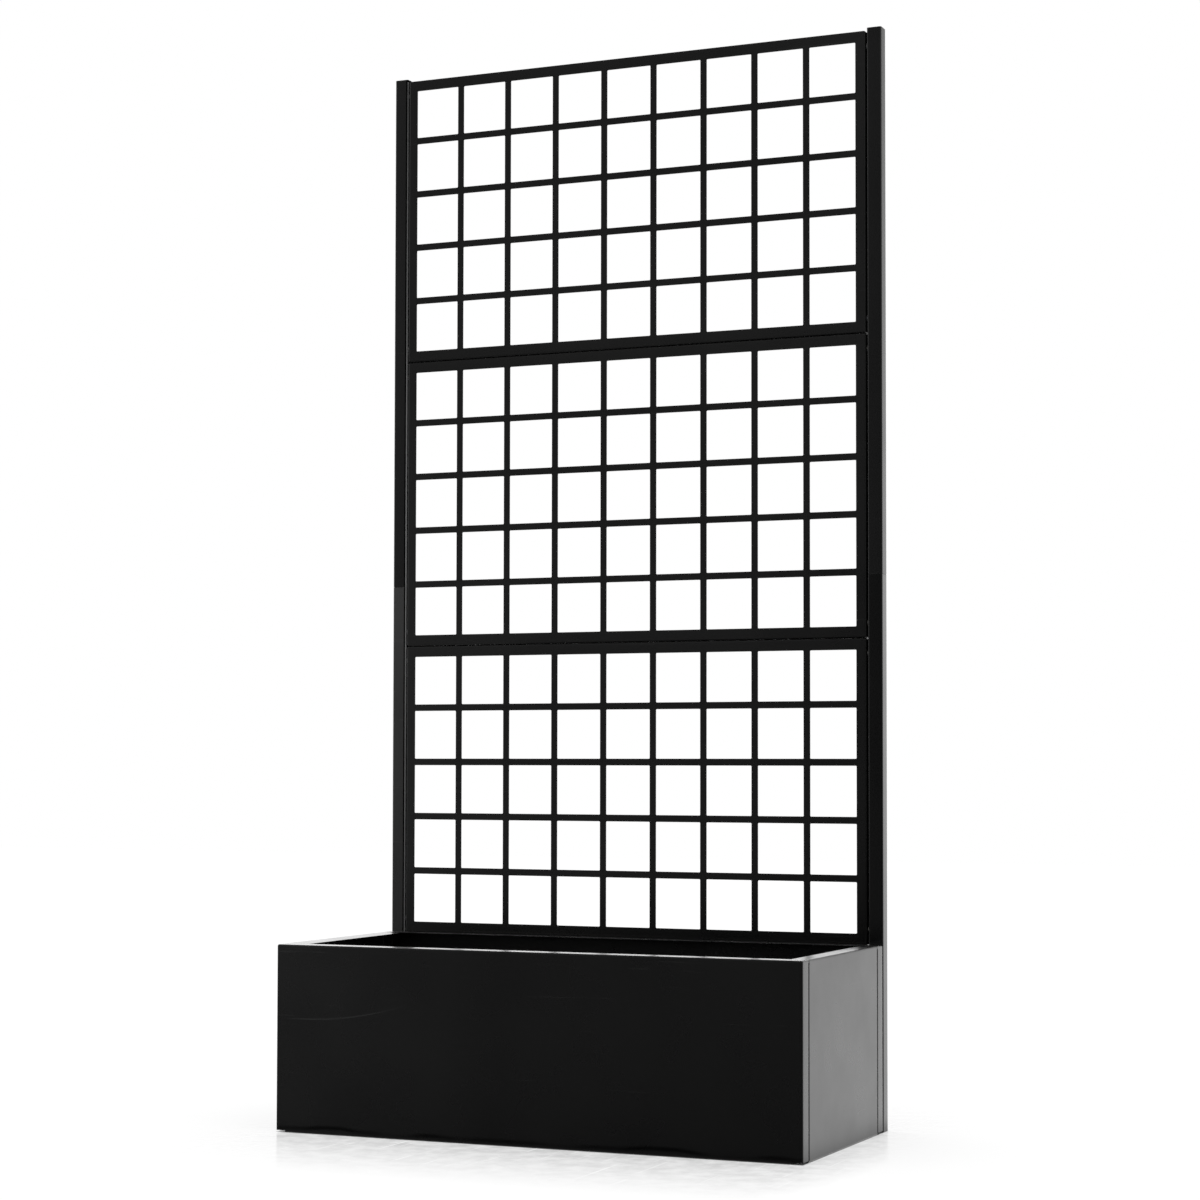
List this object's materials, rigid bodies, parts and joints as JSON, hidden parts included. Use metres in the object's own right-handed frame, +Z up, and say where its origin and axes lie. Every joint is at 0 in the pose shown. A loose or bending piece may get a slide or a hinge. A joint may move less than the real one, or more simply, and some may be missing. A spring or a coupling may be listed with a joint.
{
  "type": "planter with trellis",
  "caption": "Rectangular folded sheet-steel planter box, open at the top, with square-tube posts behind it that carry stacked punched-grid trellis panels.",
  "frame": {"origin": "on the floor under the middle of the object's bounding box", "axes": "+Z up, +Y from the planter towards the trellis and the wall behind it, +X to the right seen from the front"},
  "size_m": [0.9, 0.419, 1.8072],
  "materials": {
    "box_coat": "satin black powder coat",
    "post_coat": "satin black powder coat",
    "grid_coat": "satin black powder coat",
    "plug_plastic": "moulded black",
    "zinc": "zinc plated"
  },
  "bodies": {
    "root": {"front_panel": "box_coat", "back_panel": "box_coat", "right_side_panel": "box_coat", "left_side_panel": "box_coat", "floor_panel": "box_coat", "front_left_corner_bolt_1": "zinc", "front_left_corner_bolt_2": "zinc", "back_left_corner_bolt_1": "zinc", "back_left_corner_bolt_2": "zinc", "front_right_corner_bolt_1": "zinc", "front_right_corner_bolt_2": "zinc", "back_right_corner_bolt_1": "zinc", "back_right_corner_bolt_2": "zinc", "left_post_lower": "post_coat", "left_post_upper": "post_coat", "left_post_sleeve": "zinc", "left_post_foot_plug": "plug_plastic", "left_post_top_plug": "plug_plastic", "left_panel_insert_1": "zinc", "left_panel_insert_2": "zinc", "left_panel_insert_3": "zinc", "left_panel_insert_4": "zinc", "left_panel_insert_5": "zinc", "left_panel_insert_6": "zinc", "left_panel_bolt_1": "zinc", "left_panel_bolt_2": "zinc", "left_panel_bolt_3": "zinc", "left_panel_bolt_4": "zinc", "left_panel_bolt_5": "zinc", "left_panel_bolt_6": "zinc", "left_planter_insert_1": "zinc", "left_planter_insert_2": "zinc", "left_planter_bolt_1": "zinc", "left_planter_bolt_2": "zinc", "right_post_lower": "post_coat", "right_post_upper": "post_coat", "right_post_sleeve": "zinc", "right_post_foot_plug": "plug_plastic", "right_post_top_plug": "plug_plastic", "right_panel_insert_1": "zinc", "right_panel_insert_2": "zinc", "right_panel_insert_3": "zinc", "right_panel_insert_4": "zinc", "right_panel_insert_5": "zinc", "right_panel_insert_6": "zinc", "right_panel_bolt_1": "zinc", "right_panel_bolt_2": "zinc", "right_panel_bolt_3": "zinc", "right_panel_bolt_4": "zinc", "right_panel_bolt_5": "zinc", "right_panel_bolt_6": "zinc", "right_planter_insert_1": "zinc", "right_planter_insert_2": "zinc", "right_planter_bolt_1": "zinc", "right_planter_bolt_2": "zinc", "trellis_panel_lower": "grid_coat", "trellis_panel_middle": "grid_coat", "trellis_panel_upper": "grid_coat"}
  },
  "joints": []
}
